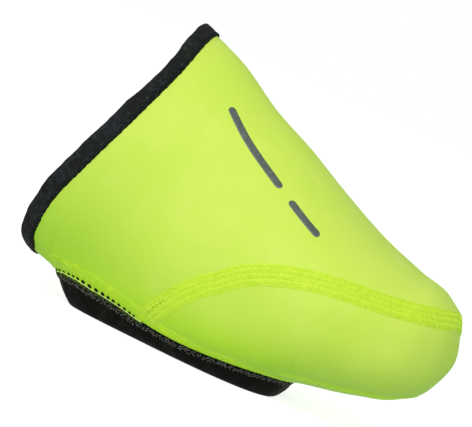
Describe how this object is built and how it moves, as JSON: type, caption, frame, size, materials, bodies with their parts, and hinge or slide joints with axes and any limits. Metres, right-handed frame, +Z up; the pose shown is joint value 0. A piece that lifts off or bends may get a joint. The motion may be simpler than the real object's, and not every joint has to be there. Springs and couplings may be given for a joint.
{
  "type": "cycling toe cover",
  "caption": "Right-foot cycling toe cover: a hi-vis softshell cap for the front of a cycling shoe, with a black sole panel, a cleat opening and a knit-bound collar.",
  "frame": {"origin": "middle of the cover's bounding box, on the floor under the sole panel", "axes": "+X from the collar to the toe, +Y to the inner side of the foot, +Z up"},
  "size_m": [0.1758, 0.0942, 0.1236],
  "materials": {
    "hi_vis_softshell": "matt coated stretch softshell",
    "black_sole_fabric": "matt rubberised fabric",
    "charcoal_knit_tape": "matt knit tape",
    "hi_vis_thread": "stitched polyester thread"
  },
  "bodies": {
    "root": {"upper": "hi_vis_softshell", "sole": "black_sole_fabric", "collar_binding": "charcoal_knit_tape", "flatlock_seam": "hi_vis_thread", "sole_hem": "hi_vis_thread"}
  },
  "joints": []
}
